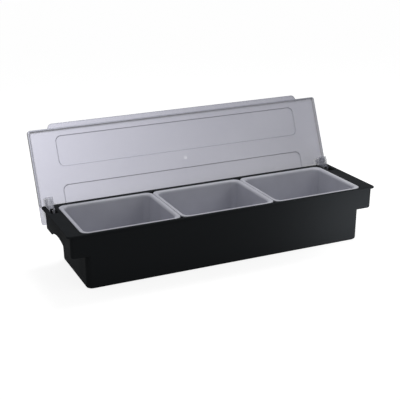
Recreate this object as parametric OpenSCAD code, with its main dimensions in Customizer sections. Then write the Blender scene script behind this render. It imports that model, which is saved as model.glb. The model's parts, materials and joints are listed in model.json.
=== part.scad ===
// Condiment caddy: a black tub with ear grips, three lift-out food inserts
// and one full-length clear lid that swings on two snap-in hinge arms.
// X runs along the caddy, Y from front to back, Z up. The origin is the
// middle of the foot. The lid is drawn where it rests when it is open.

/* [Tub] */
// Outer length of the tub at its foot
tub_l = 448; // [380:1:520]
// Outer width of the tub at its foot
tub_w = 134; // [122:1:160]
// Height from the foot to the top of the flange
tub_h = 87; // [80:1:110]
// Thickness of the tub walls
wall_t = 2.4; // [1.8:0.1:3.2]
// Thickness of the tub floor
floor_t = 3; // [2:0.1:5]
// Lean of the front and back walls, in degrees
wall_lean = 4; // [2:0.5:6]
// Radius of the tub's upright corners
corner_r = 8; // [5:0.5:14]
// Radius of the round between walls and foot
foot_round = 3.5; // [1:0.5:4]
// Radius of the round between walls and floor inside
floor_round = 6; // [2:0.5:8]

/* [Ears and flange] */
// How far each ear stands out past the tub
ear_reach = 21.5; // [19:0.5:30]
// Height of the ears, down from the top of the flange
ear_h = 35; // [28:1:45]
// Thickness of the ears' walls
ear_t = 2; // [1.6:0.1:2.6]
// Radius of the ears' upright corners
ear_r = 5; // [3:0.5:8]
// Radius of the round along the ears' lower edges
ear_round = 3.5; // [1:0.5:4]
// Length of the finger arch in each ear
arch_l = 80; // [40:1:90]
// Height of the finger arch
arch_h = 10; // [4:0.5:14]
// How far the flange stands out past the ears
flange_over_end = 5; // [3:0.5:8]
// How far the flange stands out past the front and back walls
flange_over_side = 1.8; // [1.2:0.1:2.4]
// Thickness of the flange
flange_t = 3; // [2:0.1:4]
// Radius of the flange's corners
flange_r = 6; // [4:0.5:10]

/* [Insert seat] */
// Width of the flange in front of the inserts
seat_front = 4.4; // [3.5:0.1:8]
// Width of the flange behind the inserts
seat_back = 10; // [8:0.5:14]
// How far the seat reaches past the tub's end walls
seat_end = 4.1; // [3:0.1:6]
// Width of the ledge that carries the insert rims
ledge_w = 3.6; // [2.6:0.1:5]
// Thickness of the ledge
ledge_t = 2.8; // [2:0.1:4]

/* [Inserts] */
// Thickness of the insert rims
rim_t = 2.2; // [1.6:0.1:3]
// Width of the insert rims, from their edge to the wall of the food well
rim_w = 6.8; // [6.4:0.1:9]
// Radius that rolls the rims over into the food wells
rim_roll = 3; // [2:0.1:3]
// Corner radius of the insert rims
rim_r = 11; // [6:0.5:16]
// Wall thickness of the inserts
insert_t = 1.8; // [1.2:0.1:2]
// Gap between the inserts and the floor of the tub
insert_gap = 5; // [2:0.5:30]
// Lean of the insert walls, in degrees
insert_lean = 4; // [2:0.5:6]
// Radius between the walls and floor of an insert
insert_round = 12; // [6:1:16]
// Gap between neighbouring rims
rim_gap = 0.8; // [0.5:0.1:2]

/* [Lid] */
// Height of the gap between the flange and the lid's plate
lid_lift = 6; // [5.5:0.1:9]
// Thickness of the lid's plate
lid_t = 2.5; // [1.8:0.1:3.2]
// How far the lid stands out past the flange at each end
lid_over_end = 0.5; // [0:0.1:2]
// How far the closed lid's rear edge stands out behind the flange
lid_over_back = 1.4; // [1:0.1:3]
// How far the closed lid's front edge stays behind the flange's front
lid_back_set = 4.8; // [2:0.1:8]
// Corner radius of the lid
lid_r = 4; // [2:0.5:8]
// Thickness of the rim under the lid's edge
lid_rim_t = 2.2; // [1.6:0.1:3]
// How far the end rims stop short of the lid's rear edge
lid_rim_stop = 30; // [29:1:50]
// Reach of the finger lip in front of the lid
lip_reach = 8; // [5:0.5:14]
// Distance of the finger lip from each end of the lid
lip_end = 33; // [20:1:80]
// Run of the finger lip's sloping ends
lip_slope = 7; // [3:0.5:12]
// Corner radius of the finger lip
lip_r = 4; // [2:0.5:4]
// Angle that the lid opens through, in degrees
lid_open = 112; // [95:1:112]

/* [Lid panels] */
// Distance of the panels from the ends of the lid
panel_end = 42; // [38:1:80]
// Distance of the front panel from the lid's front edge
panel_front = 11.7; // [8:0.1:20]
// Width of each panel, front to back
panel_w = 49; // [30:1:54]
// Distance between the two panels
panel_gap = 28; // [18:1:36]
// Corner radius of the panels
panel_r = 9; // [4:0.5:14]
// How far the panels stand up
panel_h = 1.2; // [0.5:0.1:1.6]
// Diameter of the round moulding gate in the lid's middle
gate_d = 7; // [4:0.5:12]
// Depth of the moulding gate's round recess
gate_deep = 0.4; // [0.2:0.1:0.8]

/* [Hinges] */
// Distance of the hinge axis in front of the flange's back edge
axis_in = 12.4; // [11.5:0.1:12.4]
// Depth of the hinge axis below the top of the flange
axis_down = 11; // [11:0.1:14]
// Radius of the hinge pegs
peg_r = 2.5; // [1.8:0.1:2.8]
// Running clearance round a hinge peg
peg_clear = 0.05; // [0.02:0.01:0.1]
// How far each peg enters the knuckle
peg_deep = 1.8; // [1:0.1:2]
// Outer radius of the arm round its peg
eye_r = 5.6; // [5:0.1:6]
// Outer radius of the knuckle
knuckle_r = 5; // [4.4:0.1:5]
// Width of a hinge arm
arm_w = 9.6; // [8.6:0.1:11]
// Thickness of the two cheeks of an arm
cheek_t = 2; // [1.6:0.1:2.4]
// Thickness of the web that joins the cheeks
web_t = 2.2; // [1.6:0.1:3]
// Reach of an arm from the lid's rear edge
arm_reach = 40; // [34:1:46]
// Distance of the web's rear end from the lid's rear edge
web_back = 22; // [21:0.5:26]
// Depth of an arm's lower face below the hinge axis
arm_down = 10.4; // [8:0.1:12]
// Radius of an arm's long lower edges
arm_round = 2; // [1:0.1:2]
// Radius of an arm's nose, where its lower face meets its front end
arm_nose = 3; // [1:0.5:4]
// Depth of the relief in the flange round an arm
relief_deep = 0.6; // [0.3:0.1:0.8]
// Reach of the relief in front of an arm's slot
relief_front = 11; // [4:0.5:16]
// Margin of the relief beside an arm's slot
relief_side = 1.2; // [0.6:0.1:1.4]
// Gap beside each moving face of the hinges
side_gap = 0.4; // [0.3:0.05:0.6]

/* [Hidden] */
$fn = 48;
hull_fn = 40;
skin = 0.01;
seat_gap = 0.2;
clear = 0.3;
over = 1;

ear_l = tub_l + 2 * ear_reach;
ear_z = tub_h - ear_h;
flange_z = tub_h - flange_t;
shoulder_l = tub_l + 2 * tan(wall_lean) * (flange_z - ear_z);
flange_l = ear_l + 2 * flange_over_end;
flange_w = wall_span(flange_z) + 2 * flange_over_side;

seat_l = tub_l + 2 * seat_end;
seat_w = flange_w - seat_front - seat_back;
seat_y = (seat_back - seat_front) / -2;
seat_z = tub_h - rim_t - seat_gap;
opening_l = seat_l - 2 * ledge_w;
opening_w = seat_w - 2 * ledge_w;
ledge_z = seat_z - ledge_t;

rim_l = (seat_l - 2 * side_gap - 2 * rim_gap) / 3;
rim_y_w = seat_w - 2 * side_gap;
rim_z = seat_z + seat_gap;
well_l = rim_l - 2 * rim_w;
well_w = rim_y_w - 2 * rim_w;
well_r = rim_r - insert_t;
insert_z = floor_t + insert_gap;

axis_y = flange_w / 2 - axis_in;
axis_z = tub_h - axis_down;
lid_rear = flange_w / 2 + lid_over_back;
lid_front = lid_back_set - flange_w / 2;
lid_l = flange_l + 2 * lid_over_end;
lid_w = lid_rear - lid_front;
lid_z = tub_h + lid_lift;
lid_mid_y = (lid_rear + lid_front) / 2;

arm_out = ear_l / 2 - ear_t - side_gap;
arm_x = arm_out - arm_w / 2;
arm_front = lid_rear - arm_reach;
arm_z = axis_z - arm_down;
web_rear = lid_rear - web_back;
knuckle_w = arm_w - 2 * cheek_t - 2 * side_gap;
slot_w = arm_w + 2 * side_gap;
nose_r = norm([axis_y - arm_front - arm_nose, arm_down - arm_nose]) + arm_nose;
web_r = norm([axis_y - web_rear, arm_down - web_t]);
slot_front = axis_y - reach_at(nose_r + side_gap, axis_down - flange_t);
slot_back = max(web_crossing() + side_gap, axis_y - reach_at(web_r - side_gap, axis_down));

// Outer width of the tub at height z, between its leaning walls
function wall_span(z) = tub_w + 2 * tan(wall_lean) * z;

// Half the width of a circle of radius r at a height up from its centre
function reach_at(r, up) = sqrt(max(r * r - up * up, 0));

// Where a point of the closed lid lies when the lid is open: [y, z]
function opened(y, z) = [
    axis_y + (y - axis_y) * cos(lid_open) + (z - axis_z) * sin(lid_open),
    axis_z - (y - axis_y) * sin(lid_open) + (z - axis_z) * cos(lid_open)
];

// Height at which the open arm's rear edge crosses the outer face of the ear
function stop_height() =
    let (low = opened(axis_y + eye_r, axis_z), high = opened(axis_y + eye_r, lid_z))
    let (wall_y = wall_span(axis_z - axis_down) / 2)
    low[1] + (wall_y - low[0]) / (high[0] - low[0]) * (high[1] - low[1]);

// How far back the open web reaches at the top of the flange
function web_crossing() =
    let (low = opened(web_rear, arm_z + web_t), high = opened(arm_front, arm_z + web_t))
    low[0] + (tub_h - low[1]) / (high[1] - low[1]) * (high[0] - low[0]);

// Rectangle with round corners, centred
module rounded(l, w, r) {
    square([l - 2 * r, w], center = true);
    square([l, w - 2 * r], center = true);
    for (x = [-1, 1], y = [-1, 1])
        translate([x * (l / 2 - r), y * (w / 2 - r)]) circle(r);
}

// Thin rounded slice at height z, for hulls
module slice(l, w, r, z) {
    translate([0, 0, z]) linear_extrude(skin) rounded(l, w, r, $fn = hull_fn);
}

// Solid body with leaning walls and a rounded foot, from z0 up to z1.
// l and w are its size at z0 before rounding; each side grows by grow per mm.
module basin(l, w, r, z0, z1, grow_l, grow_w, round) {
    hull() {
        for (a = [0 : 22.5 : 90]) {
            rise = round * (1 - cos(a));
            inset = round * (1 - sin(a));
            slice(l - 2 * inset + 2 * grow_l * rise, w - 2 * inset + 2 * grow_w * rise,
                  max(r - inset, 1), z0 + rise);
        }
        slice(l + 2 * grow_l * (z1 - skin - z0), w + 2 * grow_w * (z1 - skin - z0), r, z1 - skin);
    }
}

// The tub's outer body, its ears and the flange
module tub_outside() {
    basin(tub_l, tub_w, corner_r, 0, flange_z, 0, tan(wall_lean), foot_round);
    basin(ear_l, wall_span(ear_z), ear_r, ear_z, flange_z, 0, tan(wall_lean), ear_round);
    translate([0, 0, flange_z - skin]) linear_extrude(flange_t + skin)
        rounded(flange_l, flange_w, flange_r);
}

// The space that the inserts hang in, with the ledge left round its top
module tub_inside() {
    basin(tub_l - 2 * wall_t, tub_w - 2 * wall_t, corner_r - wall_t, floor_t, ledge_z,
          0, tan(wall_lean), floor_round);
    hull() {
        slice(tub_l - 2 * wall_t, wall_span(ear_z) - 2 * wall_t, corner_r - wall_t, ear_z);
        slice(shoulder_l - 2 * wall_t, wall_span(ledge_z) - 2 * wall_t, corner_r - wall_t,
              ledge_z - skin);
    }
    translate([0, seat_y, ledge_z - over])
        linear_extrude(tub_h) rounded(opening_l, opening_w, rim_r - ledge_w / 2);
    translate([0, seat_y, seat_z]) linear_extrude(tub_h) rounded(seat_l, seat_w, rim_r);
}

// The finger space under one ear, between the tub's end and the ear's wall
module ear_hollow() {
    hull() for (end = [[tub_l, ear_z - over], [shoulder_l, flange_z - skin]]) {
        from = end[0] / 2;
        to = ear_l / 2 - ear_t;
        translate([(from + to) / 2, 0, 0])
            slice(to - from, wall_span(end[1]) - 2 * ear_t, ear_r - ear_t, end[1]);
    }
}

// The arched cut in the lower edge of one ear
module finger_arch() {
    r = (arch_l * arch_l / 4 + arch_h * arch_h) / (2 * arch_h);
    translate([ear_l / 2 - ear_t - over, 0, ear_z + arch_h - r]) rotate([0, 90, 0])
        cylinder(h = ear_t + 2 * over, r = r, $fn = 180);
}

// The slots that one hinge arm swings through, and the relief round them
module hinge_slots() {
    floor_z = stop_height() - clear;
    cut_w = cheek_t + 2 * side_gap;
    past = flange_w / 2 + over;
    translate([arm_x - slot_w / 2, slot_front, flange_z - over])
        cube([slot_w, slot_back - slot_front, flange_t + 2 * over]);
    for (x = [arm_x - slot_w / 2, arm_x + slot_w / 2 - cut_w])
        translate([x, slot_back - over, floor_z]) cube([cut_w, past - slot_back + over, tub_h]);
    relief_w = slot_w + 2 * relief_side;
    translate([arm_x - relief_w / 2, slot_front - relief_front, tub_h - relief_deep])
        cube([relief_w, past - slot_front + relief_front, flange_t]);
}

// The fixed knuckle between an arm's cheeks, joined to the ear's back wall
module knuckle() {
    wall_y = wall_span(axis_z) / 2 - ear_t / 2;
    translate([arm_x - knuckle_w / 2, axis_y, axis_z]) {
        rotate([0, 90, 0]) cylinder(h = knuckle_w, r = knuckle_r);
        translate([0, 0, -knuckle_r]) cube([knuckle_w, wall_y - axis_y, 2 * knuckle_r]);
    }
}

module tub() {
    color([0.07, 0.07, 0.08]) difference() {
        union() {
            difference() {
                tub_outside();
                tub_inside();
                for (side = [0, 1]) mirror([side, 0, 0]) {
                    ear_hollow();
                    finger_arch();
                    hinge_slots();
                }
            }
            for (side = [0, 1]) mirror([side, 0, 0]) knuckle();
        }
        for (side = [0, 1]) mirror([side, 0, 0])
            translate([arm_x - arm_w / 2, axis_y, axis_z]) rotate([0, 90, 0])
                cylinder(h = arm_w, r = peg_r + peg_clear);
    }
}

// Section of the cut that rolls an edge over: what lies outside a quarter circle
module roll_section(roll) {
    difference() {
        translate([-over, 0]) square([roll + over, roll + over]);
        translate([roll, 0]) circle(roll);
    }
}

// Cut that leaves a rolled edge round the mouth of a well, at height top.
// l, w and r are the length, width and corner radius of the well.
module rolled_mouth(l, w, r, roll, top) {
    for (turn = [0 : 90 : 270]) {
        along = turn % 180 == 0 ? w : l;
        reach = turn % 180 == 0 ? l : w;
        translate([0, 0, top - roll]) rotate([0, 0, turn]) {
            translate([reach / 2, along / 2 - r, 0]) rotate([90, 0, 0])
                linear_extrude(along - 2 * r) roll_section(roll);
            translate([reach / 2 - r, along / 2 - r, 0]) rotate_extrude(angle = 90)
                translate([r, 0]) roll_section(roll);
        }
    }
}

// One food insert; place counts from the middle of the caddy
module insert(place) {
    deep = rim_z - insert_z;
    lean = tan(insert_lean);
    foot_l = well_l + 2 * insert_t - 2 * lean * deep;
    foot_w = well_w + 2 * insert_t - 2 * lean * deep;
    pinch = 2 * lean * (rim_roll - rim_t);
    color([0.8, 0.82, 0.84]) translate([place * (rim_l + rim_gap), seat_y, 0]) difference() {
        union() {
            basin(foot_l, foot_w, rim_r, insert_z, rim_z + skin, lean, lean, insert_round);
            translate([0, 0, rim_z]) linear_extrude(rim_t) rounded(rim_l, rim_y_w, rim_r);
        }
        basin(foot_l - 2 * insert_t, foot_w - 2 * insert_t, well_r, insert_z + insert_t,
              tub_h + over, lean, lean, insert_round - insert_t);
        rolled_mouth(well_l - pinch, well_w - pinch, well_r, rim_roll, tub_h);
    }
}

module insert_left() { insert(-1); }
module insert_middle() { insert(0); }
module insert_right() { insert(1); }

// Turns what is drawn for the closed lid to where the open lid rests
module lid_opened() {
    translate([0, axis_y, axis_z]) rotate([-lid_open, 0, 0])
        translate([0, -axis_y, -axis_z]) children();
}

// Outlines of the two panels, made smaller by inset on each side
module panel_outlines(inset) {
    l = lid_l - 2 * panel_end - 2 * inset;
    w = panel_w - 2 * inset;
    first = lid_front + panel_front + panel_w / 2;
    for (y = [first, first + panel_w + panel_gap])
        translate([0, y]) rounded(l, w, panel_r - inset);
}

// Outline of the finger lip, from inside the plate to its front edge
module lip_outline() {
    base = lid_l / 2 - lip_end;
    tip = base - lip_slope;
    edge = lid_front - lip_reach;
    polygon([[-base, lid_front + over], [-base, lid_front], [-tip - lip_r / 2, edge + lip_r],
             [-tip + lip_r, edge], [tip - lip_r, edge], [tip + lip_r / 2, edge + lip_r],
             [base, lid_front], [base, lid_front + over]]);
    for (x = [-1, 1]) translate([x * (tip - lip_r / 2), edge + lip_r]) circle(lip_r);
}

module lid_plate() {
    difference() {
        union() {
            translate([0, lid_mid_y, lid_z]) linear_extrude(lid_t) rounded(lid_l, lid_w, lid_r);
            translate([0, 0, lid_z]) linear_extrude(lid_t) lip_outline();
            translate([0, 0, lid_z + lid_t - skin]) linear_extrude(panel_h + skin)
                panel_outlines(0);
        }
        translate([0, 0, lid_z - skin]) linear_extrude(panel_h + skin) panel_outlines(lid_t / 2);
        translate([0, lid_mid_y, lid_z + lid_t - gate_deep]) cylinder(h = over, d = gate_d);
    }
}

// Rim under the front edge and the ends of the lid
module lid_rim() {
    depth = lid_lift - clear;
    intersection() {
        translate([0, lid_mid_y, lid_z - depth]) linear_extrude(depth + skin) difference() {
            rounded(lid_l, lid_w, lid_r);
            rounded(lid_l - 2 * lid_rim_t, lid_w - 2 * lid_rim_t, lid_r - lid_rim_t / 2);
        }
        translate([-lid_l, lid_front - over, 0])
            cube([2 * lid_l, lid_w - lid_rim_stop + over, 2 * lid_z]);
    }
}

// Section across an arm: width along X, height up to the lid's plate
module arm_outline() {
    half = arm_w / 2;
    translate([-half, arm_round]) square([arm_w, lid_z - arm_z - arm_round + skin]);
    translate([arm_round - half, 0]) square([arm_w - 2 * arm_round, arm_w]);
    for (x = [-1, 1]) translate([x * (half - arm_round), arm_round]) circle(arm_round);
}

// Side view of an arm's channel, down to arm_z, with a round nose
module arm_side() {
    translate([arm_front, arm_z + arm_nose]) square([web_rear - arm_front, lid_z - arm_z]);
    translate([arm_front + arm_nose, arm_z]) square([web_rear - arm_front - arm_nose, arm_nose * 2]);
    translate([arm_front + arm_nose, arm_z + arm_nose]) circle(arm_nose);
}

// The channel at the front of an arm, closed at its front end
module arm_channel() {
    difference() {
        intersection() {
            translate([arm_x, web_rear, arm_z]) rotate([90, 0, 0])
                linear_extrude(web_rear - arm_front) arm_outline();
            translate([arm_x - arm_w / 2 - over, 0, 0]) rotate([90, 0, 90])
                linear_extrude(arm_w + 2 * over) arm_side();
        }
        translate([arm_x - arm_w / 2 + cheek_t, arm_front + cheek_t, arm_z + web_t])
            cube([arm_w - 2 * cheek_t, arm_reach, lid_z - arm_z - web_t]);
    }
}

// One of an arm's two cheeks where it reaches back over the hinge axis
module arm_cheek() {
    rotate([90, 0, 90]) linear_extrude(cheek_t) {
        polygon([[web_rear - skin, arm_z], [web_rear + arm_round, arm_z], [axis_y, axis_z - eye_r],
                 [axis_y + eye_r, axis_z], [axis_y + eye_r, lid_z + skin],
                 [web_rear - skin, lid_z + skin]]);
        translate([axis_y, axis_z]) circle(eye_r);
    }
}

module hinge_arm() {
    arm_channel();
    translate([arm_x - arm_w / 2, 0, 0]) arm_cheek();
    translate([arm_x + arm_w / 2 - cheek_t, 0, 0]) arm_cheek();
    for (x = [-1, 1]) translate([arm_x + x * (knuckle_w / 2 - peg_deep), axis_y, axis_z])
        rotate([0, x * 90, 0]) cylinder(h = peg_deep + side_gap + skin, r = peg_r);
}

module lid() {
    color([0.72, 0.74, 0.78, 0.6]) lid_opened() {
        lid_plate();
        lid_rim();
        for (side = [0, 1]) mirror([side, 0, 0]) hinge_arm();
    }
}

tub();
insert_left();
insert_middle();
insert_right();
lid();
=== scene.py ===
"""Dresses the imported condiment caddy: its materials, its rounded pieces, studio and camera.

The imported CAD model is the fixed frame. The tub, the three food inserts and the lid each
have a class with their sizes and a method that builds and dresses them. Sizes are in
millimetres until they reach Blender, which works in metres.
"""

import json
import logging
import math
from dataclasses import dataclass
from enum import Enum
from typing import Any, Callable, Sequence

import bpy
from mathutils import Matrix, Vector

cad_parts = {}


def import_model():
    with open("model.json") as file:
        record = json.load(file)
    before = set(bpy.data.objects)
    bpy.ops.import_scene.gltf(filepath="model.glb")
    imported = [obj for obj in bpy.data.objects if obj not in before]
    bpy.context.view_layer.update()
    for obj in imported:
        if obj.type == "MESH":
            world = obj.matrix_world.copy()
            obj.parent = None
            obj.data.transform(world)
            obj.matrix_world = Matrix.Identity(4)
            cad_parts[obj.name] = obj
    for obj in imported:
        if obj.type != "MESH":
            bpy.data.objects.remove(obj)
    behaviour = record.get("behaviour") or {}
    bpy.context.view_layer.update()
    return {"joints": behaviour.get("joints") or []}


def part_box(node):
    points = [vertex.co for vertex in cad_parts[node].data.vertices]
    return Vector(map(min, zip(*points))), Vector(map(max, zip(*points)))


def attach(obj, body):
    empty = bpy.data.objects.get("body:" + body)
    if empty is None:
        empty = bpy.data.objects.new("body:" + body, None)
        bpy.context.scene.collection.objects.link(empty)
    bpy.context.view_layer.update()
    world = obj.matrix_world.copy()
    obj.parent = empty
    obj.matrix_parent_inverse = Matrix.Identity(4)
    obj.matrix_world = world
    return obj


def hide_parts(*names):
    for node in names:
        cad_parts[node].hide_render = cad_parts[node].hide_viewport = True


MM = 0.001
# Slope of the moulded walls, as a tangent, which lets each piece leave its mould
LEAN = math.tan(math.radians(4))
# Small step that keeps two faces of joined solids out of one plane, in millimetres
NICK = 0.02
# How far a solid reaches into the one that it joins or past a face that it cuts, in millimetres
OVER = 1.0
# Upward part of its normal from which a face counts as a top face
FACES_UP = 0.9
# Faces that meet at a steeper angle than this, in degrees, keep a sharp edge
SHARP_DEG = 32
# A noise pattern's values lie mostly between these two
NOISE_LOW = 0.3
NOISE_HIGH = 0.7
# Numbers of the colour sockets of a Mix node, whose names several sockets share
MIX_FACTOR = 0
MIX_LOW = 6
MIX_HIGH = 7
MIX_RESULT = 2
# Width and height of the render, in pixels
IMAGE_SIDE = 400

log = logging.getLogger("caddy")


def linear(hex_colour: str) -> tuple[float, float, float, float]:
    """Turns an sRGB hex colour into the linear colour that shaders take.

    Args:
        hex_colour: A colour such as "#1b1c1e".

    Returns:
        Linear red, green and blue, and an alpha of 1.
    """
    values = [int(hex_colour[i : i + 2], 16) / 255 for i in (1, 3, 5)]
    red, green, blue = (v / 12.92 if v <= 0.04045 else ((v + 0.055) / 1.055) ** 2.4 for v in values)
    return red, green, blue, 1.0


def add_node(
    tree: bpy.types.NodeTree,
    kind: str,
    settings: dict[str, Any] | None = None,
    values: dict[str | int, Any] | None = None,
    links: dict[str | int, bpy.types.NodeSocket] | None = None,
) -> bpy.types.Node:
    """Adds one node to a tree.

    Args:
        tree: The node tree that takes the node.
        kind: The node's type name.
        settings: Values of the node's own properties.
        values: Default values of its input sockets.
        links: Output sockets that feed its input sockets.

    Returns:
        The new node.
    """
    made = tree.nodes.new(kind)
    for name, value in (settings or {}).items():
        setattr(made, name, value)
    for name, value in (values or {}).items():
        made.inputs[name].default_value = value
    for name, source in (links or {}).items():
        tree.links.new(source, made.inputs[name])
    return made


def new_material(name: str) -> tuple[bpy.types.Material, bpy.types.NodeTree, bpy.types.Node]:
    """Starts a material with an empty tree and its output node.

    Args:
        name: Name of the material.

    Returns:
        The material, its tree and its output node.
    """
    material = bpy.data.materials.new(name)
    material.use_nodes = True
    tree = material.node_tree
    tree.nodes.clear()
    return material, tree, tree.nodes.new("ShaderNodeOutputMaterial")


def patches(tree: bpy.types.NodeTree, size_mm: float, detail: float, low: float,
            high: float) -> bpy.types.NodeSocket:
    """Adds a value that varies over a piece in soft patches of a real size.

    Args:
        tree: The material's node tree.
        size_mm: Size of the largest patches.
        detail: How many finer layers lie on them.
        low: The value in the weakest patches.
        high: The value in the strongest patches.

    Returns:
        The socket of the value.
    """
    place = add_node(tree, "ShaderNodeTexCoord").outputs["Object"]
    noise = add_node(tree, "ShaderNodeTexNoise", values={"Scale": 1 / (size_mm * MM), "Detail": detail},
                     links={"Vector": place})
    varied = add_node(
        tree, "ShaderNodeMapRange", links={"Value": noise.outputs["Fac"]},
        values={"From Min": NOISE_LOW, "From Max": NOISE_HIGH, "To Min": low, "To Max": high},
    )
    return varied.outputs["Result"]


@dataclass(frozen=True)
class Grain:
    """The fine relief that a mould leaves on a surface: its size and depth in millimetres."""

    size_mm: float
    detail: float
    depth_mm: float
    strength: float

    def build(self, tree: bpy.types.NodeTree) -> bpy.types.NodeSocket:
        """Adds the relief to a material.

        Args:
            tree: The material's node tree.

        Returns:
            The socket of the normal that the relief gives.
        """
        place = add_node(tree, "ShaderNodeTexCoord").outputs["Object"]
        noise = add_node(tree, "ShaderNodeTexNoise", links={"Vector": place},
                         values={"Scale": 1 / (self.size_mm * MM), "Detail": self.detail})
        bump = add_node(tree, "ShaderNodeBump", links={"Height": noise.outputs["Fac"]},
                        values={"Strength": self.strength, "Distance": self.depth_mm * MM})
        return bump.outputs["Normal"]


@dataclass(frozen=True)
class BlackAbs:
    """Black ABS, injection moulded in a spark-eroded tool.

    The eroded tool gives a fine satin grain that breaks up reflections, and handling
    leaves soft patches where the grain is polished a little.
    """

    colour: str = "#292b2d"
    # Real eroded grain is about 0.1 mm across; it is drawn coarser, so that it shows
    grain: Grain = Grain(size_mm=0.9, detail=3.0, depth_mm=0.05, strength=0.22)
    patch_mm: float = 45.0
    roughness: tuple[float, float] = (0.46, 0.60)
    ior: float = 1.53
    # Far below that of polished ABS, as the eroded face has almost no sheen
    specular: float = 0.003

    def build(self) -> bpy.types.Material:
        """Makes the material.

        Returns:
            Black ABS for the tub.
        """
        material, tree, output = new_material("black_abs_moulded")
        roughness = patches(tree, self.patch_mm, 4.0, *self.roughness)
        surface = add_node(
            tree, "ShaderNodeBsdfPrincipled",
            values={"Base Color": linear(self.colour), "IOR": self.ior,
                    "Specular IOR Level": self.specular},
            links={"Roughness": roughness, "Normal": self.grain.build(tree)},
        )
        tree.links.new(surface.outputs["BSDF"], output.inputs["Surface"])
        return material


@dataclass(frozen=True)
class MilkyPolypropylene:
    """Natural polypropylene, injection moulded and slightly translucent.

    The resin is pale and milky, and the flow of the melt leaves very soft clouds in its
    colour and its sheen.
    """

    colour: str = "#c0c1ca"
    cloud_colour: str = "#b7b8c1"
    cloud_mm: float = 38.0
    # Real grain is about 0.1 mm across; it is drawn coarser, so that it shows
    grain: Grain = Grain(size_mm=1.1, detail=2.0, depth_mm=0.04, strength=0.12)
    roughness: tuple[float, float] = (0.34, 0.46)
    ior: float = 1.49
    specular: float = 0.4

    def build(self) -> bpy.types.Material:
        """Makes the material.

        Returns:
            Milky polypropylene for the food inserts.
        """
        material, tree, output = new_material("milky_polypropylene_moulded")
        colour = add_node(
            tree, "ShaderNodeMix", settings={"data_type": "RGBA"},
            values={MIX_LOW: linear(self.cloud_colour), MIX_HIGH: linear(self.colour)},
            links={MIX_FACTOR: patches(tree, self.cloud_mm, 3.0, 0.0, 1.0)},
        )
        roughness = patches(tree, self.cloud_mm, 3.0, *self.roughness)
        surface = add_node(
            tree, "ShaderNodeBsdfPrincipled", values={"IOR": self.ior, "Specular IOR Level": self.specular},
            links={"Base Color": colour.outputs[MIX_RESULT], "Roughness": roughness,
                   "Normal": self.grain.build(tree)},
        )
        tree.links.new(surface.outputs["BSDF"], output.inputs["Surface"])
        return material


@dataclass(frozen=True)
class SmokePolycarbonate:
    """Smoke-tinted polycarbonate, injection moulded and dulled by wiping.

    Light passes through it, but a haze of fine wiping marks veils what lies behind. Where
    the eye looks along the sheet, at its edges and steps, it shows its full depth of tint; the
    copy for the narrow edges is darker still, with painted shade.
    """

    name: str = "smoke_polycarbonate_moulded"
    colour: str = "#a5a6b7"
    haze_mm: float = 60.0
    # How much of what lies behind the haze hides, in its thinnest and thickest patches
    haze: tuple[float, float] = (0.60, 0.64)
    # Real wiping marks are hair-fine; they are drawn coarser, so that they show
    wipe_mm: float = 2.2
    roughness: tuple[float, float] = (0.32, 0.42)
    # Tint and haze of a full depth, and the slants from and at which the eye sees it
    depth_colour: str = "#9fa0b1"
    depth_haze: float = 0.66
    depth_from: float = 0.3
    depth_to: float = 0.65
    ior: float = 1.58
    specular: float = 0.3

    def build(self) -> bpy.types.Material:
        """Makes the material.

        Returns:
            Smoke polycarbonate for one kind of face of the lid.
        """
        material, tree, output = new_material(self.name)
        slant = add_node(tree, "ShaderNodeLayerWeight", values={"Blend": 0.5})
        depth = add_node(tree, "ShaderNodeMapRange", links={"Value": slant.outputs["Facing"]},
                         values={"From Min": self.depth_from, "From Max": self.depth_to})
        colour = add_node(
            tree, "ShaderNodeMix", settings={"data_type": "RGBA"},
            values={MIX_LOW: linear(self.colour), MIX_HIGH: linear(self.depth_colour)},
            links={MIX_FACTOR: depth.outputs["Result"]},
        )
        haze = patches(tree, self.haze_mm, 5.0, *self.haze)
        veil = add_node(tree, "ShaderNodeMapRange", values={"To Max": self.depth_haze},
                        links={"Value": depth.outputs["Result"], "To Min": haze})
        roughness = patches(tree, self.wipe_mm, 3.0, *self.roughness)
        surface = add_node(
            tree, "ShaderNodeBsdfPrincipled", values={"IOR": self.ior, "Specular IOR Level": self.specular},
            links={"Base Color": colour.outputs[MIX_RESULT], "Alpha": veil.outputs["Result"],
                   "Roughness": roughness},
        )
        tree.links.new(surface.outputs["BSDF"], output.inputs["Surface"])
        return material


class Tint(Enum):
    """The lid's one resin as its faces show it, by how much of it the eye looks through; the narrow edges
    also carry painted shade.
    """

    BROAD = SmokePolycarbonate()
    WALL = SmokePolycarbonate(name="smoke_polycarbonate_thin_wall", haze=(0.22, 0.26), depth_haze=0.9,
                              depth_colour="#2c2d33", depth_to=0.7)
    # Narrow edges and panel steps: their darker colour and thicker haze are painted shade, the shade that
    # falls in the steps; the extra tint at a slant is the resin's depth
    EDGE = SmokePolycarbonate(name="smoke_polycarbonate_edge_painted_shade", colour="#858795", haze=(0.74, 0.80),
                              depth_haze=0.85, depth_colour="#4c4e57", depth_from=0.4, depth_to=0.9)
    ARM = SmokePolycarbonate(name="smoke_polycarbonate_clear_arm", colour="#8d8f9c", haze=(0.33, 0.37),
                             depth_haze=0.42, depth_colour="#7b7d89")


def deselect() -> None:
    """Deselects every object."""
    bpy.ops.object.select_all(action="DESELECT")


def select_edges(piece: bpy.types.Object, test: Callable[[Vector, Vector], bool]) -> None:
    """Selects edges in edit mode by their two ends.

    Args:
        piece: The object in edit mode.
        test: Says from the places of an edge's ends, in metres, if it is selected.
    """
    bpy.ops.mesh.select_mode(type="EDGE")
    bpy.ops.mesh.select_all(action="DESELECT")
    bpy.ops.object.mode_set(mode="OBJECT")
    points = piece.data.vertices
    for edge in piece.data.edges:
        edge.select = test(*(points[i].co for i in edge.vertices))
    bpy.ops.object.mode_set(mode="EDIT")


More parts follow.
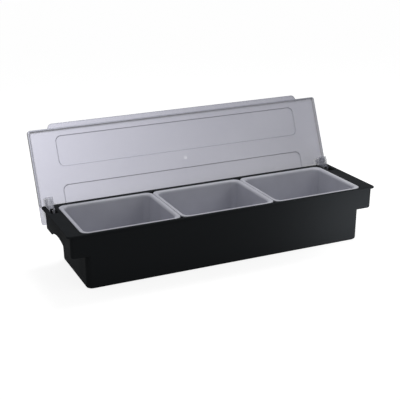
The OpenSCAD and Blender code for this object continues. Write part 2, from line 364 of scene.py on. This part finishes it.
def select_faces(piece: bpy.types.Object, test: Callable[[Vector, Vector], bool]) -> None:
    """Selects faces in edit mode by their middle and normal.

    Args:
        piece: The object in edit mode.
        test: Says from a face's middle, in metres, and its normal if it is selected.
    """
    bpy.ops.mesh.select_mode(type="FACE")
    bpy.ops.mesh.select_all(action="DESELECT")
    bpy.ops.object.mode_set(mode="OBJECT")
    for face in piece.data.polygons:
        face.select = test(face.center, face.normal)
    bpy.ops.object.mode_set(mode="EDIT")


def dress(piece: bpy.types.Object, materials: Sequence[bpy.types.Material],
          choose: Callable[[Vector, Vector], int] | None = None) -> None:
    """Gives a piece its materials.

    Args:
        piece: The finished piece.
        materials: Its materials; the first one covers it all over if nothing is chosen.
        choose: Picks the number of a face's material from the face's middle and normal.
    """
    piece.data.materials.clear()
    for material in materials:
        piece.data.materials.append(material)
    if choose:
        for face in piece.data.polygons:
            face.material_index = choose(face.center, face.normal)


@dataclass(frozen=True)
class Ring:
    """One level outline of a grown solid: its size, height and middle, in millimetres."""

    length: float
    width: float
    height: float
    x: float = 0.0
    y: float = 0.0

    @property
    def middle(self) -> Vector:
        """The ring's middle, in metres."""
        return Vector((self.x, self.y, self.height)) * MM


def grow(name: str, rings: list[Ring], corner_r: float, corner_steps: int = 8) -> bpy.types.Object:
    """Grows a closed solid ring by ring out of the top face of a low block.

    Args:
        name: Name of the new object.
        rings: The outlines from first to last; both ends are closed by a flat face.
        corner_r: Radius of the block's upright corners, in millimetres.
        corner_steps: Facets round each corner.

    Returns:
        The grown solid.
    """
    first = rings[0]
    block_h = 1.0
    last = Ring(first.length, first.width, first.height + block_h, first.x, first.y)
    piece = block(name, (first.x - first.length / 2, first.y - first.width / 2, first.height),
                  (first.x + first.length / 2, first.y + first.width / 2, last.height))
    bpy.ops.object.mode_set(mode="EDIT")
    select_edges(piece, lambda a, b: abs(a.z - b.z) > block_h / 2 * MM)
    bpy.ops.mesh.bevel(offset=corner_r * MM, segments=corner_steps, affect="EDGES")
    select_faces(piece, lambda middle, normal: normal.z > FACES_UP)
    for number, ring in enumerate(rings[1:]):
        # The second ring is the block's own top, moved; each later one is extruded from the last
        if number:
            bpy.ops.mesh.extrude_region_move()
        bpy.ops.transform.translate(value=ring.middle - last.middle)
        bpy.ops.transform.resize(value=(ring.length / last.length, ring.width / last.width, 1),
                                 center_override=ring.middle)
        last = ring
    bpy.ops.object.mode_set(mode="OBJECT")
    return piece


def block(name: str, low: Sequence[float], high: Sequence[float]) -> bpy.types.Object:
    """Adds a plain block to shape or to cut with.

    Args:
        name: Name of the new object.
        low: Its lowest corner, in millimetres.
        high: Its highest corner, in millimetres.

    Returns:
        The block, which is left active and selected.
    """
    low, high = Vector(low) * MM, Vector(high) * MM
    deselect()
    bpy.ops.mesh.primitive_cube_add(size=1, location=(low + high) / 2, scale=high - low)
    bpy.ops.object.transform_apply(location=True, rotation=True, scale=True)
    bpy.context.object.name = name
    return bpy.context.object


def rod(name: str, middle: Sequence[float], radius: float, length: float,
        sides: int = 48) -> bpy.types.Object:
    """Adds a round rod along X to shape or to cut with.

    Args:
        name: Name of the new object.
        middle: Its middle, in millimetres.
        radius: Its radius, in millimetres.
        length: Its length, in millimetres.
        sides: Facets round it.

    Returns:
        The rod, which is left active and selected.
    """
    deselect()
    bpy.ops.mesh.primitive_cylinder_add(vertices=sides, radius=radius * MM, depth=length * MM,
                                        location=Vector(middle) * MM, rotation=(0, math.pi / 2, 0))
    bpy.ops.object.transform_apply(location=True, rotation=True, scale=True)
    bpy.context.object.name = name
    return bpy.context.object


class Fit(Enum):
    """How a second solid is fitted to a first."""

    JOIN = "UNION"
    CUT = "DIFFERENCE"


def fit(piece: bpy.types.Object, tool: bpy.types.Object, how: Fit) -> None:
    """Joins a solid to a piece or cuts it out of the piece, and removes it.

    Args:
        piece: The piece that stays.
        tool: The solid that is used up.
        how: Whether it is joined or cut out.
    """
    deselect()
    piece.select_set(True)
    bpy.context.view_layer.objects.active = piece
    modifier = piece.modifiers.new("fit", "BOOLEAN")
    modifier.operation = how.value
    modifier.solver = "EXACT"
    modifier.object = tool
    bpy.ops.object.modifier_apply(modifier=modifier.name)
    bpy.data.objects.remove(tool)


def curve(start: float, end: float, steps: int = 6) -> list[tuple[float, float]]:
    """Works out 1 - sine and 1 - cosine of angles along an arc.

    Args:
        start: First angle, in degrees.
        end: Last angle, in degrees.
        steps: Number of steps between them.

    Returns:
        The pairs, which are an inset and a rise on a unit round.
    """
    angles = [math.radians(start + (end - start) * i / steps) for i in range(steps + 1)]
    return [(1 - math.sin(a), 1 - math.cos(a)) for a in angles]


def slab(length: float, width: float, low: float, high: float, edge: float, y: float = 0.0,
         steps: int = 3) -> list[Ring]:
    """Works out the rings of a flat slab with its upper and lower edges rounded.

    Args:
        length: Length of the slab, in millimetres.
        width: Width of the slab.
        low: Height of its underside.
        high: Height of its top.
        edge: Radius of its edges.
        y: Its middle from front to back.
        steps: Facets across each round edge.

    Returns:
        The rings from the underside to the top.
    """
    levels = [(inset, low + edge * rise) for inset, rise in curve(0, 90, steps)]
    levels += [(inset, high - edge * rise) for inset, rise in curve(90, 0, steps)]
    return [Ring(length - 2 * edge * inset, width - 2 * edge * inset, height, y=y)
            for inset, height in levels]


def settle(piece: bpy.types.Object, node: str) -> None:
    """Smooths a dressed piece and puts it in its CAD node's place.

    Args:
        piece: The finished piece.
        node: The CAD node that it stands for; its body has the same name.
    """
    deselect()
    piece.select_set(True)
    bpy.context.view_layer.objects.active = piece
    bpy.ops.object.shade_smooth_by_angle(angle=math.radians(SHARP_DEG))
    weighting = piece.modifiers.new("flat_faces_stay_flat", "WEIGHTED_NORMAL")
    weighting.keep_sharp = True
    bpy.ops.object.modifier_apply(modifier=weighting.name)
    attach(piece, node)
    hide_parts(node)
    log.info("%s: %d faces", piece.name, len(piece.data.polygons))


class Place(Enum):
    """The three food inserts, by the CAD node that each stands for."""

    LEFT = "insert_left"
    MIDDLE = "insert_middle"
    RIGHT = "insert_right"


@dataclass
class FoodInsert:
    """A lift-out food insert: a round-cornered well that hangs by its flat rim.

    Its outer size comes from the CAD node. Its rings run up the outside, over the rim
    and down the inside to the floor.
    """

    material: bpy.types.Material
    rim_t: float = 2.2
    rim_w: float = 6.8
    rim_r: float = 11.0
    # Radii of the rim's outer edges, of the well's mouth and of the corner under the rim
    rim_edge: float = 0.4
    roll: float = 4.0
    fillet: float = 1.2
    wall_t: float = 1.8
    lean: float = LEAN
    foot_round: float = 12.0

    def profile(self, foot: float, top: float) -> list[tuple[float, float]]:
        """Works out the insert's section, from the foot round to the inner floor.

        Args:
            foot: Height of the underside.
            top: Height of the rim's top.

        Returns:
            Points (offset, height), where the offset is measured outwards from the
            line of the well's wall at the rim.
        """
        rim = top - self.rim_t
        outer = self.wall_t - self.lean * (rim - foot)
        inner = outer - self.wall_t
        inner_floor = foot + self.wall_t
        inner_r = self.foot_round - self.wall_t
        turn = self.wall_t + self.fillet
        edge = self.rim_edge
        points = [(outer - self.foot_round * (inset - self.lean * rise), foot + self.foot_round * rise)
                  for inset, rise in curve(0, 90)]
        points += [(turn - self.fillet * (1 - rise), rim - self.fillet * inset)
                   for inset, rise in curve(0, 90)]
        points += [(self.rim_w - edge * inset, rim + edge * rise) for inset, rise in curve(0, 90)]
        points += [(self.rim_w - edge * inset, top - edge * rise) for inset, rise in curve(90, 0)]
        points += [(self.roll * inset, top - self.roll * rise) for inset, rise in curve(0, 90)]
        points += [(inner - inner_r * (inset - self.lean * rise), inner_floor + inner_r * rise)
                   for inset, rise in curve(90, 0)]
        return points

    def build_first(self) -> bpy.types.Object:
        """Models the left insert.

        Returns:
            The insert, in its place in the tub.
        """
        low, high = (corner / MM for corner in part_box(Place.LEFT.value))
        middle = (low + high) / 2
        well = (high - low) - Vector((2, 2, 0)) * self.rim_w
        rings = [Ring(well.x + 2 * offset, well.y + 2 * offset, height, middle.x, middle.y)
                 for offset, height in self.profile(low.z, high.z)]
        corner_r = self.rim_r * rings[0].length / (high - low).x
        return grow("food_insert_left", rings, corner_r, corner_steps=10)

    def build(self) -> None:
        """Models one insert, copies it for the other places and settles all three."""
        first = self.build_first()
        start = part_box(Place.LEFT.value)[0]
        pieces = {Place.LEFT: first}
        for place in (Place.MIDDLE, Place.RIGHT):
            piece = bpy.data.objects.new("food_" + place.value, first.data.copy())
            bpy.context.collection.objects.link(piece)
            piece.data.transform(Matrix.Translation(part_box(place.value)[0] - start))
            pieces[place] = piece
        for place, piece in pieces.items():
            dress(piece, [self.material])
            settle(piece, place.value)


@dataclass
class Hinge:
    """What the tub and the lid share at their two hinges."""

    axis: Vector
    open_deg: float
    arm_x: float = 238.3
    arm_w: float = 9.6
    cheek_t: float = 2.0
    side_gap: float = 0.4
    peg_r: float = 2.5
    peg_clear: float = 0.05
    peg_deep: float = 1.8

    @property
    def knuckle_w(self) -> float:
        """Width of the fixed knuckle between an arm's cheeks."""
        return self.arm_w - 2 * self.cheek_t - 2 * self.side_gap

    @property
    def slot_w(self) -> float:
        """Width of the slot that an arm swings through."""
        return self.arm_w + 2 * self.side_gap


@dataclass
class Tub:
    """The black tub with its ears, finger arches, seat and hinge knuckles."""

    material: bpy.types.Material
    hinge: Hinge
    length: float = 448.0
    width: float = 134.0
    corner_r: float = 8.0
    wall_t: float = 2.4
    floor_t: float = 3.0
    foot_round: float = 3.5
    floor_round: float = 6.0
    ear_reach: float = 21.5
    ear_h: float = 35.0
    ear_t: float = 2.0
    ear_r: float = 5.0
    ear_round: float = 2.0
    hollow_r: float = 3.0
    arch_l: float = 80.0
    arch_h: float = 10.0
    flange_t: float = 3.0
    flange_r: float = 6.0
    flange_edge: float = 1.0
    seat_l: float = 456.2
    seat_front: float = 4.4
    seat_back: float = 10.0
    seat_deep: float = 2.4
    seat_r: float = 11.4
    seat_edge: float = 0.6
    ledge_w: float = 3.6
    ledge_t: float = 2.8
    # Where the arm slots start and end from front to back, and how low the cheek slots reach
    slot_front: float = 35.7
    slot_back: float = 60.2
    slot_floor: float = 65.9
    knuckle_r: float = 5.0
    # How far behind the hinge axis the knuckle's straight part starts
    knuckle_step: float = 0.2
    # The shallow relief in the flange round each arm
    relief_deep: float = 0.6
    relief_front: float = 11.0
    relief_side: float = 1.2

    def span(self, height: float) -> float:
        """Width of the tub across its leaning walls at a height."""
        return self.width + 2 * LEAN * height

    def foot(self, low: float, radius: float, wall: float = 0.0) -> list[Ring]:
        """Works out the rings of the tub's round foot, outside or inside.

        Args:
            low: Height of the foot's flat face.
            radius: Radius of the round between that face and the walls.
            wall: How far inside the tub's outside it lies.

        Returns:
            The rings from the flat face to the top of the round.
        """
        rings = []
        for inset, rise in curve(0, 90):
            height = low + radius * rise
            less = 2 * wall + 2 * radius * inset
            rings.append(Ring(self.length - less, self.span(height) - less, height))
        return rings

    def build_outside(self, top: float, flange: Vector) -> bpy.types.Object:
        """Models the solid outside: the body, the block of the two ears and the flange.

        Args:
            top: Height of the flange's top.
            flange: Length and width of the flange.

        Returns:
            The three as one solid.
        """
        ear_z = top - self.ear_h
        rings = self.foot(0.0, self.foot_round)
        rings.append(Ring(self.length, self.span(ear_z + OVER), ear_z + OVER))
        piece = grow("tub_shell", rings, self.corner_r)
        ear_l = self.length + 2 * self.ear_reach
        ear_round = self.ear_round
        rings = [Ring(ear_l - 2 * ear_round * inset, self.span(ear_z + ear_round * rise) + 2 * NICK,
                      ear_z + ear_round * rise) for inset, rise in curve(0, 90)]
        under = top - self.flange_t
        rings.append(Ring(ear_l, self.span(under + OVER) + 2 * NICK, under + OVER))
        fit(piece, grow("ears", rings, self.ear_r), Fit.JOIN)
        rings = slab(flange.x, flange.y, under, top, self.flange_edge, steps=4)
        fit(piece, grow("flange", rings, self.flange_r), Fit.JOIN)
        return piece

    def cut_inside(self, piece: bpy.types.Object, top: float, flange: Vector) -> None:
        """Cuts the inside: the well, the opening above it and the seat of the inserts.

        Args:
            piece: The tub.
            top: Height of the flange's top.
            flange: Length and width of the flange.
        """
        seat_w = flange.y - self.seat_front - self.seat_back
        seat_y = (self.seat_front - self.seat_back) / 2
        ear_z = top - self.ear_h
        seat_z = top - self.seat_deep
        ledge_z = seat_z - self.ledge_t
        walls = 2 * self.wall_t
        rings = self.foot(self.floor_t, self.floor_round, self.wall_t)
        rings.append(Ring(self.length - walls, self.span(ear_z) - walls, ear_z))
        mouth_l = self.length + 2 * LEAN * (ledge_z - ear_z)
        rings.append(Ring(mouth_l - walls, self.span(ledge_z) - walls, ledge_z))
        fit(piece, grow("well", rings, self.corner_r - self.wall_t), Fit.CUT)
        opening = Vector((self.seat_l - 2 * self.ledge_w, seat_w - 2 * self.ledge_w))
        rings = [Ring(opening.x, opening.y, height, y=seat_y) for height in (ledge_z - OVER, seat_z + OVER)]
        fit(piece, grow("opening", rings, self.seat_r - self.ledge_w), Fit.CUT)
        edge = self.seat_edge
        rings = [Ring(self.seat_l, seat_w, seat_z, y=seat_y)]
        rings += [Ring(self.seat_l + 2 * edge * inset, seat_w + 2 * edge * inset, top - edge * rise,
                       y=seat_y) for inset, rise in curve(90, 0, 3)]
        rings.append(Ring(self.seat_l + 2 * edge, seat_w + 2 * edge, top + OVER, y=seat_y))
        fit(piece, grow("seat", rings, self.seat_r), Fit.CUT)

    def cut_ear(self, piece: bpy.types.Object, side: int, top: float) -> None:
        """Hollows one ear from below and cuts the finger arch in its lower edge.

        Args:
            piece: The tub.
            side: -1 for the left ear, 1 for the right one.
            top: Height of the flange's top.
        """
        ear_z = top - self.ear_h
        wall = self.length / 2
        end = wall + self.ear_reach - self.ear_t
        levels = ((ear_z - OVER, wall), (top - self.flange_t, wall + LEAN * self.ear_h))
        rings = [Ring(end - start, self.span(height) - 2 * self.ear_t, height, x=side * (start + end) / 2)
                 for height, start in levels]
        fit(piece, grow("ear_hollow", rings, self.hollow_r, corner_steps=4), Fit.CUT)
        arch_r = (self.arch_l**2 / 4 + self.arch_h**2) / (2 * self.arch_h)
        middle = (side * (end + self.ear_t / 2), 0, ear_z + self.arch_h - arch_r)
        fit(piece, rod("finger_arch", middle, arch_r, self.ear_t + 2 * OVER, sides=180), Fit.CUT)

    def cut_hinge(self, piece: bpy.types.Object, side: int, top: float, back: float) -> None:
        """Cuts the slots of one hinge arm and adds the knuckle that its pegs turn in.

        Args:
            piece: The tub.
            side: -1 for the left hinge, 1 for the right one.
            top: Height of the flange's top.
            back: How far back the flange reaches.
        """
        hinge = self.hinge
        x = side * hinge.arm_x
        half = hinge.slot_w / 2
        cheek = hinge.cheek_t + 2 * hinge.side_gap
        under = top - self.flange_t - OVER
        inner = half - NICK
        fit(piece, block("arm_slot", (x - inner, self.slot_front, under),
                         (x + inner, self.slot_back, top + OVER)), Fit.CUT)
        inner -= NICK
        for low, high in ((x - inner, x - half + cheek), (x + half - cheek, x + inner)):
            fit(piece, block("cheek_slot", (low, self.slot_back - OVER, self.slot_floor),
                             (high, back + OVER, top + OVER)), Fit.CUT)
        half += self.relief_side
        fit(piece, block("relief", (x - half, self.slot_front - self.relief_front, top - self.relief_deep),
                         (x + half, back + OVER, top + OVER)), Fit.CUT)
        half = hinge.knuckle_w / 2 - NICK
        wall = self.span(hinge.axis.z) / 2 - self.ear_t / 2
        middle = (x, hinge.axis.y, hinge.axis.z)
        knuckle = block("knuckle",
                        (x - half, hinge.axis.y + self.knuckle_step, hinge.axis.z - self.knuckle_r),
                        (x + half, wall, hinge.axis.z + self.knuckle_r))
        fit(knuckle, rod("knuckle_end", middle, self.knuckle_r, 2 * half), Fit.JOIN)
        fit(knuckle, rod("peg_bore", middle, hinge.peg_r + hinge.peg_clear, hinge.arm_w), Fit.CUT)
        fit(piece, knuckle, Fit.JOIN)

    def build(self) -> None:
        """Models the tub and settles it."""
        low, high = (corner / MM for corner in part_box("tub"))
        flange = high - low
        piece = self.build_outside(high.z, flange)
        self.cut_inside(piece, high.z, flange)
        for side in (-1, 1):
            self.cut_ear(piece, side, high.z)
            self.cut_hinge(piece, side, high.z, high.y)
        dress(piece, [self.material])
        settle(piece, "tub")


@dataclass
class Lid:
    """The full-length lid: a plate with two raised panels, a rim, a lip and two hinge arms.

    It is modelled closed and then turned open about the hinge axis. Its materials are one resin
    as it shows in broad faces, in thin walls, along narrow edges darkened with painted shade, and in the
    arms.
    """

    materials: dict[Tint, bpy.types.Material]
    hinge: Hinge
    length: float = 502.0
    front: float = -69.874
    rear: float = 76.074
    under: float = 93.0
    plate_t: float = 2.5
    corner_r: float = 4.0
    edge: float = 0.8
    rim_t: float = 2.2
    rim_deep: float = 5.7
    # How far in front of the rear edge the rim stops
    rim_stop: float = 30.0
    lip_reach: float = 8.0
    lip_l: float = 436.0
    lip_r: float = 7.4
    panel_end: float = 42.0
    panel_front: float = 11.7
    panel_w: float = 49.0
    panel_pitch: float = 77.0
    panel_r: float = 9.0
    panel_h: float = 1.2
    panel_slope: float = 1.1
    gate_r: float = 3.5
    gate_deep: float = 0.4
    arm_reach: float = 40.0
    web_back: float = 22.0
    arm_down: float = 10.4
    arm_round: float = 2.2
    web_t: float = 2.2
    eye_r: float = 5.6
    # How far a joined solid reaches into the one that carries it
    sink: float = 0.5
    # A face is broad where its normal's share along Z is above the first, a wall under the second
    broad_level: float = 0.98
    wall_level: float = 0.2

    @property
    def top(self) -> float:
        """Height of the plate's top."""
        return self.under + self.plate_t

    def build_plate(self) -> bpy.types.Object:
        """Models the plate with its rim and its finger lip.

        Returns:
            The plate, in its place on the closed tub.
        """
        middle = (self.front + self.rear) / 2
        width = self.rear - self.front
        low = self.under - self.rim_deep
        rings = slab(self.length, width, low, self.top, self.edge, middle)
        plate = grow("flip_lid", rings, self.corner_r)
        inner = Vector((self.length, width)) - Vector((2, 2)) * self.rim_t
        rings = [Ring(inner.x, inner.y, height, y=middle) for height in (low - OVER, self.under)]
        fit(plate, grow("rim_hollow", rings, self.corner_r - self.rim_t / 2, corner_steps=4), Fit.CUT)
        fit(plate, block("rear_cut", (-self.length, self.rear - self.rim_stop, low - OVER),
                         (self.length, self.rear + OVER, self.under)), Fit.CUT)
        lip_w = self.lip_reach + 2 * self.lip_r
        lip_y = self.front - self.lip_reach + lip_w / 2
        rings = slab(self.lip_l, lip_w, self.under, self.top, self.edge, lip_y)
        fit(plate, grow("finger_lip", rings, self.lip_r), Fit.JOIN)
        return plate

    def emboss(self, plate: bpy.types.Object) -> None:
        """Raises the two panels out of the plate, with sloping steps, and marks the gate.

        Args:
            plate: The lid's plate.
        """
        length = self.length - 2 * self.panel_end
        slope = self.panel_slope
        wall = self.plate_t / 2
        for row in (0, 1):
            y = self.front + self.panel_front + self.panel_w / 2 + row * self.panel_pitch
            # A dent under each panel keeps the plate as thick there as beside it
            pad = [(0.0, self.top - self.sink), (0.0, self.top + self.panel_h - slope),
                   (-slope, self.top + self.panel_h)]
            dent = [(slope - wall, self.under - OVER), (slope - wall, self.under),
                    (-wall, self.under + self.panel_h)]
            for profile, how in ((pad, Fit.JOIN), (dent, Fit.CUT)):
                rings = [Ring(length + 2 * offset, self.panel_w + 2 * offset, height, y=y)
                         for offset, height in profile]
                fit(plate, grow("panel", rings, self.panel_r), how)
        deep = self.gate_deep
        middle = Vector((0, (self.front + self.rear) / 2, self.top)) * MM
        deselect()
        bpy.ops.mesh.primitive_cone_add(vertices=48, radius1=(self.gate_r - deep) * MM,
                                        radius2=(self.gate_r + deep) * MM, depth=2 * deep * MM,
                                        location=middle)
        bpy.ops.object.transform_apply(location=True, rotation=True, scale=True)
        fit(plate, bpy.context.object, Fit.CUT)

    def build_arm(self, side: int) -> bpy.types.Object:
        """Models one hinge arm: a channel in front and two cheeks with pegs behind.

        Args:
            side: -1 for the left arm, 1 for the right one.

        Returns:
            The arm, in its place on the closed lid.
        """
        hinge = self.hinge
        axis_y, axis_z = hinge.axis.y, hinge.axis.z
        x = side * hinge.arm_x
        half = hinge.arm_w / 2
        low = axis_z - self.arm_down
        high = self.under + self.sink
        front = self.rear - self.arm_reach
        web_end = self.rear - self.web_back
        arm = block("arm", (x - half, front, low), (x + half, web_end, high))
        bpy.ops.object.mode_set(mode="EDIT")
        select_edges(arm, lambda a, b: max(a.z, b.z) < (low + OVER) * MM
                     and min(a.y, b.y) < (web_end - OVER) * MM)
        bpy.ops.mesh.bevel(offset=self.arm_round * MM, segments=4, affect="EDGES")
        bpy.ops.object.mode_set(mode="OBJECT")
        heel = block("heel", (x - half, web_end - self.sink, low), (x + half, axis_y, axis_z - self.eye_r))
        bpy.ops.object.mode_set(mode="EDIT")
        select_edges(heel, lambda a, b: max(a.z, b.z) < (low + OVER) * MM
                     and min(a.y, b.y) > (axis_y - OVER) * MM)
        bpy.ops.transform.translate(value=(0, (web_end + self.arm_round - axis_y) * MM, 0))
        select_faces(heel, lambda middle, normal: normal.z > FACES_UP)
        rise = (self.eye_r + self.sink) * MM
        bpy.ops.mesh.extrude_region_move(TRANSFORM_OT_translate={"value": (0, 0, rise)})
        bpy.ops.object.mode_set(mode="OBJECT")
        fit(arm, heel, Fit.JOIN)
        fit(arm, block("stem", (x - half, web_end - self.sink, axis_z),
                       (x + half, axis_y + self.eye_r, high)), Fit.JOIN)
        fit(arm, rod("eye", (x, axis_y, axis_z), self.eye_r, hinge.arm_w), Fit.JOIN)
        half -= hinge.cheek_t
        fit(arm, block("channel", (x - half, front + hinge.cheek_t, low + self.web_t),
                       (x + half, self.rear, self.under)), Fit.CUT)
        fit(arm, block("gap", (x - half, web_end, low - OVER), (x + half, self.rear, self.under)), Fit.CUT)
        tip = hinge.knuckle_w / 2 - hinge.peg_deep
        for way in (-1, 1):
            middle = (x + way * (tip + half + self.sink) / 2, axis_y, axis_z)
            fit(arm, rod("peg", middle, hinge.peg_r, half + self.sink - tip), Fit.JOIN)
        return arm

    def tint(self, middle: Vector, normal: Vector) -> Tint:
        """Tells the faces of the closed lid apart by their place and slope.

        Args:
            middle: A face's middle, in metres.
            normal: The face's normal.

        Returns:
            How the resin shows in it.
        """
        level = abs(normal.z)
        rim_end = (self.under - self.rim_deep + self.edge) * MM
        arm_front = (self.rear - self.arm_reach - self.sink) * MM
        arm_end = (self.hinge.arm_x + self.hinge.arm_w / 2 + self.sink) * MM
        gate = (self.top - self.gate_deep) * MM
        if middle.z < self.under * MM and middle.y > arm_front and abs(middle.x) < arm_end:
            return Tint.ARM
        if level < self.wall_level:
            return Tint.WALL
        # Sloping steps, round edges and the rim's foot take the edge material, darkened with painted shade
        if level <= self.broad_level or middle.z <= rim_end:
            return Tint.EDGE
        # The gate leaves a thin, clear spot
        return Tint.WALL if abs(middle.z - gate) < NICK * MM else Tint.BROAD

    def build(self) -> None:
        """Models the lid closed, turns it open and settles it."""
        piece = self.build_plate()
        self.emboss(piece)
        for side in (-1, 1):
            fit(piece, self.build_arm(side), Fit.JOIN)
        tints = list(self.materials)
        dress(piece, list(self.materials.values()),
              lambda middle, normal: tints.index(self.tint(middle, normal)))
        axis = self.hinge.axis * MM
        turn = Matrix.Rotation(math.radians(-self.hinge.open_deg), 4, "X")
        piece.data.transform(Matrix.Translation(axis) @ turn @ Matrix.Translation(-axis))
        settle(piece, "lid")


@dataclass(frozen=True)
class SoftBox:
    """A rectangular lamp: where it hangs and points, in metres, and what it lights.

    A box with pieces named lights those alone, as if flags kept it off the rest.
    """

    name: str
    place: tuple[float, float, float]
    target: tuple[float, float, float]
    size: tuple[float, float]
    watts: float
    lights: tuple[str, ...] = ()
    tint: str = "#ffffff"

    def hang(self) -> None:
        """Makes the lamp."""
        data = bpy.data.lights.new(self.name, "AREA")
        data.shape = "RECTANGLE"
        data.size, data.size_y = self.size
        data.energy = self.watts
        data.color = linear(self.tint)[:3]
        lamp = bpy.data.objects.new(self.name, data)
        bpy.context.collection.objects.link(lamp)
        lamp.visible_camera = False
        lamp.location = self.place
        lamp.rotation_euler = (Vector(self.target) - Vector(self.place)).to_track_quat("-Z", "Y").to_euler()
        if self.lights:
            lit = bpy.data.collections.new(self.name + "_lights")
            for piece in self.lights:
                lit.objects.link(bpy.data.objects[piece])
            lamp.light_linking.receiver_collection = lit


@dataclass
class Studio:
    """A plain white studio: floor, world and lamps."""

    floor_side: float = 8.0
    # The glow, seen by the eye and in reflections, makes the floor white; its grey takes the shadow
    floor_glow: float = 0.84
    floor_colour: str = "#b4b4b4"
    # Strength of the world's light on the object
    ambient: float = 0.33
    lamps: tuple[SoftBox, ...] = (
        SoftBox("box_above", (0.2, 0.35, 0.85), (0.08, 0.0, 0.09), (0.5, 0.3), 3.3),
        SoftBox("box_lid", (-0.42, -0.25, 0.50), (-0.44, 0.12, 0.23), (0.12, 0.12), 5.2,
                ("flip_lid",), "#fffdf6"),
        SoftBox("box_front", (0.34, -0.58, 0.36), (0.15, 0.0, 0.07), (0.3, 0.2), 0.45,
                ("tub_shell", "food_insert_left", "food_insert_middle", "food_insert_right")),
        SoftBox("card_right", (0.26, -0.20, 0.012), (0.28, -0.07, 0.05), (0.16, 0.08), 0.45),
    )

    def seen(self, tree: bpy.types.NodeTree) -> bpy.types.NodeSocket:
        """Adds a value that is 1 for rays that show the background and 0 for the rest.

        Args:
            tree: The node tree of the floor's material or of the world.

        Returns:
            The socket of the value.
        """
        path = add_node(tree, "ShaderNodeLightPath")
        seen = path.outputs["Is Camera Ray"]
        for ray in ("Is Glossy Ray", "Is Transmission Ray"):
            either = add_node(tree, "ShaderNodeMath", settings={"operation": "MAXIMUM"},
                              links={0: seen, 1: path.outputs[ray]})
            seen = either.outputs["Value"]
        return seen

    def build_floor(self) -> None:
        """Makes the white floor, which still takes a soft shadow."""
        deselect()
        bpy.ops.mesh.primitive_plane_add(size=self.floor_side)
        floor = bpy.context.object
        floor.name = "floor"
        material, tree, output = new_material("white_studio_floor")
        strength = add_node(tree, "ShaderNodeMath", settings={"operation": "MULTIPLY"},
                            values={1: self.floor_glow}, links={0: self.seen(tree)})
        diffuse = add_node(tree, "ShaderNodeBsdfDiffuse", values={"Color": linear(self.floor_colour)})
        glow = add_node(tree, "ShaderNodeEmission", links={"Strength": strength.outputs["Value"]})
        both = add_node(tree, "ShaderNodeAddShader",
                        links={0: diffuse.outputs["BSDF"], 1: glow.outputs["Emission"]})
        tree.links.new(both.outputs["Shader"], output.inputs["Surface"])
        dress(floor, [material])

    def build_world(self) -> None:
        """Makes the world: white to the eye, a soft fill for the lit surfaces."""
        world = bpy.data.worlds.new("studio_world")
        bpy.context.scene.world = world
        world.use_nodes = True
        tree = world.node_tree
        tree.nodes.clear()
        strength = add_node(tree, "ShaderNodeMapRange", values={"To Min": self.ambient, "To Max": 1.0},
                            links={"Value": self.seen(tree)})
        background = add_node(tree, "ShaderNodeBackground", values={"Color": linear("#ffffff")},
                              links={"Strength": strength.outputs["Result"]})
        output = add_node(tree, "ShaderNodeOutputWorld")
        tree.links.new(background.outputs["Background"], output.inputs["Surface"])

    def build(self) -> None:
        """Makes the floor, the world and the lamps."""
        self.build_floor()
        self.build_world()
        for lamp in self.lamps:
            lamp.hang()
        bpy.context.scene.view_settings.view_transform = "Standard"


@dataclass(frozen=True)
class ProductCamera:
    """The camera: its bearing from the front, height angle and roll in degrees, and lens.

    The focal length is in pixels of the render, and the distance and the target are in
    millimetres.
    """

    azimuth: float = -22.929
    elevation: float = 18.481
    roll: float = -1.427
    focal_px: float = 899.8
    distance: float = 1387.4
    target: tuple[float, float, float] = (-19.19, 0.0, 83.87)
    sensor: float = 36.0
    clip: tuple[float, float] = (0.01, 50.0)

    def build(self) -> None:
        """Places the camera and makes it the scene's own."""
        azimuth, elevation, roll = (math.radians(a) for a in (self.azimuth, self.elevation, self.roll))
        back = Vector((math.sin(azimuth) * math.cos(elevation), -math.cos(azimuth) * math.cos(elevation),
                       math.sin(elevation)))
        level = Vector((math.cos(azimuth), math.sin(azimuth), 0))
        rise = back.cross(level)
        right = math.cos(roll) * level + math.sin(roll) * rise
        up = math.cos(roll) * rise - math.sin(roll) * level
        data = bpy.data.cameras.new("product_camera")
        data.sensor_width = self.sensor
        data.lens = self.focal_px * self.sensor / IMAGE_SIDE
        data.clip_start, data.clip_end = self.clip
        camera = bpy.data.objects.new("product_camera", data)
        bpy.context.collection.objects.link(camera)
        placed = Matrix((right, up, back)).transposed().to_4x4()
        placed.translation = (Vector(self.target) + back * self.distance) * MM
        camera.matrix_world = placed
        bpy.context.scene.camera = camera


def main() -> None:
    """Builds the caddy's visible pieces, its studio and its camera."""
    logging.basicConfig(level=logging.INFO, format="%(name)s: %(message)s")
    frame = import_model()
    joint = next(j for j in frame["joints"] if j["name"] == "lid_hinge")
    hinge = Hinge(axis=Vector(joint["pos_m"]) / MM, open_deg=-joint["range_deg"][0])
    Tub(BlackAbs().build(), hinge).build()
    FoodInsert(MilkyPolypropylene().build()).build()
    Lid({tint: tint.value.build() for tint in Tint}, hinge).build()
    Studio().build()
    ProductCamera().build()


if __name__ == "__main__":
    main()
